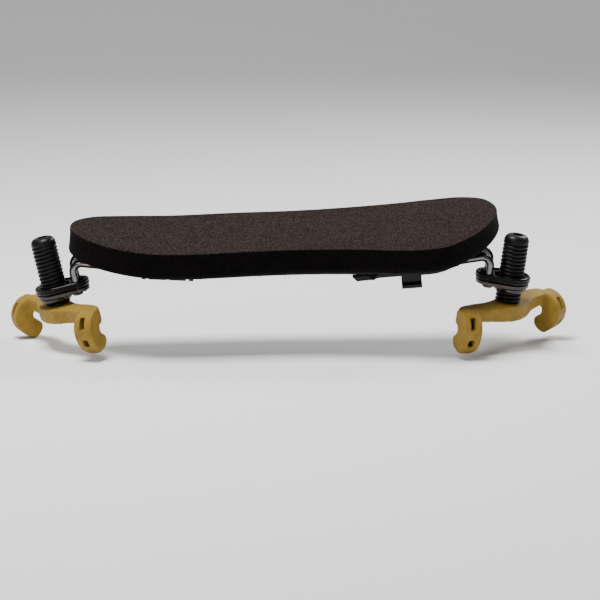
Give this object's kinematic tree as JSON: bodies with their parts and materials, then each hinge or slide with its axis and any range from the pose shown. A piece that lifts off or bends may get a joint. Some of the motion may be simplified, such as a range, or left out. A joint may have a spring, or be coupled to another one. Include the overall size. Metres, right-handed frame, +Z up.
{
  "type": "violin shoulder rest",
  "caption": "Violin shoulder rest: a bowed foam-padded bar with sliding, folding wire brackets and height-adjusting screw legs that end in rubber-covered forks.",
  "frame": {"origin": "the middle of the bounding box's underside, about level with the claws' tips", "axes": "+X along the pad towards its wide shoulder end, +Y towards the scroll of the violin, +Z up from the violin's back towards the player"},
  "size_m": [0.2156, 0.057, 0.0554],
  "materials": {
    "foam": "closed-cell charcoal foam, cut surface with a fine grain",
    "nylon": "moulded black nylon, satin",
    "screw_nylon": "moulded black nylon thread, semi-matt",
    "nickel": "nickel-plated steel, polished",
    "steel": "plain steel, satin",
    "rubber": "moulded tan rubber, matt"
  },
  "bodies": {
    "bar": {"base_bar": "nylon", "foam_pad": "foam", "left_lever_pin": "steel", "right_lever_pin": "steel"},
    "left_lever": {"left_lock_lever": "nylon"},
    "left_slider": {"left_slider": "nylon"},
    "left_bracket": {"left_bracket_rod": "nickel", "left_collar": "nylon", "left_clamp_plate": "nickel", "left_collar_rivet": "nickel", "left_threaded_bush": "nickel"},
    "left_leg": {"left_leg_pin": "steel"},
    "left_screw": {"left_leg_screw": "screw_nylon"},
    "left_fork": {"left_fork_frame": "steel", "left_fork_rubber": "rubber"},
    "right_lever": {"right_lock_lever": "nylon"},
    "right_slider": {"right_slider": "nylon"},
    "right_bracket": {"right_bracket_rod": "nickel", "right_collar": "nylon", "right_clamp_plate": "nickel", "right_collar_rivet": "nickel", "right_threaded_bush": "nickel"},
    "right_leg": {"right_leg_pin": "steel"},
    "right_screw": {"right_leg_screw": "screw_nylon"},
    "right_fork": {"right_fork_frame": "steel", "right_fork_rubber": "rubber"}
  },
  "joints": [
    {"name": "left_width_slide", "type": "slide", "parent": "bar", "child": "left_slider", "axis": [-0.9989, -0.016, 0.0449], "range_m": [0, 0.015]},
    {"name": "left_lock_lever_hinge", "type": "hinge", "parent": "bar", "child": "left_lever", "pos_m": [-0.0347, 0.00033, 0.03159], "axis": [-0.0046, 0.9703, 0.2419], "range_deg": [-4, 1.6]},
    {"name": "left_fold_hinge", "type": "hinge", "parent": "left_slider", "child": "left_bracket", "pos_m": [-0.06368, -0.00011, 0.03279], "axis": [0.0046, -0.9703, -0.2419], "range_deg": [0, 75]},
    {"name": "left_leg_slide", "type": "slide", "parent": "left_bracket", "child": "left_leg", "axis": [0.2175, 0.0785, -0.9729], "range_m": [0, 0.012]},
    {"name": "left_height_screw", "type": "hinge", "parent": "left_leg", "child": "left_screw", "pos_m": [-0.0872, 0.00056, 0.01743], "axis": [0.2175, 0.0785, -0.9729], "range_deg": [-1, 2881]},
    {"name": "left_fork_swivel", "type": "hinge", "parent": "left_leg", "child": "left_fork", "pos_m": [-0.0872, 0.00056, 0.01743], "axis": [-0.2175, -0.0785, 0.9729], "range_deg": [-20, 20]},
    {"name": "right_width_slide", "type": "slide", "parent": "bar", "child": "right_slider", "axis": [0.9964, -0.016, 0.0832], "range_m": [0, 0.015]},
    {"name": "right_lock_lever_hinge", "type": "hinge", "parent": "bar", "child": "right_lever", "pos_m": [0.03184, -0.00064, 0.03262], "axis": [0.0046, -0.9703, -0.2419], "range_deg": [-4, 1.6]},
    {"name": "right_fold_hinge", "type": "hinge", "parent": "right_slider", "child": "right_bracket", "pos_m": [0.06074, -0.00108, 0.03494], "axis": [-0.0046, 0.9703, 0.2419], "range_deg": [0, 75]},
    {"name": "right_leg_slide", "type": "slide", "parent": "right_bracket", "child": "right_leg", "axis": [-0.1261, 0.1219, -0.9845], "range_m": [-0.003, 0.009]},
    {"name": "right_height_screw", "type": "hinge", "parent": "right_leg", "child": "right_screw", "pos_m": [0.0833, 0.00056, 0.01843], "axis": [-0.1261, 0.1219, -0.9845], "range_deg": [-721, 2161]},
    {"name": "right_fork_swivel", "type": "hinge", "parent": "right_leg", "child": "right_fork", "pos_m": [0.0833, 0.00056, 0.01843], "axis": [0.1261, -0.1219, 0.9845], "range_deg": [-20, 20]}
  ],
  "couplings": [
    {"joint": "left_height_screw", "follows": "left_leg_slide", "rad_per_m": 4188.8},
    {"joint": "right_height_screw", "follows": "right_leg_slide", "rad_per_m": 4188.8}
  ]
}
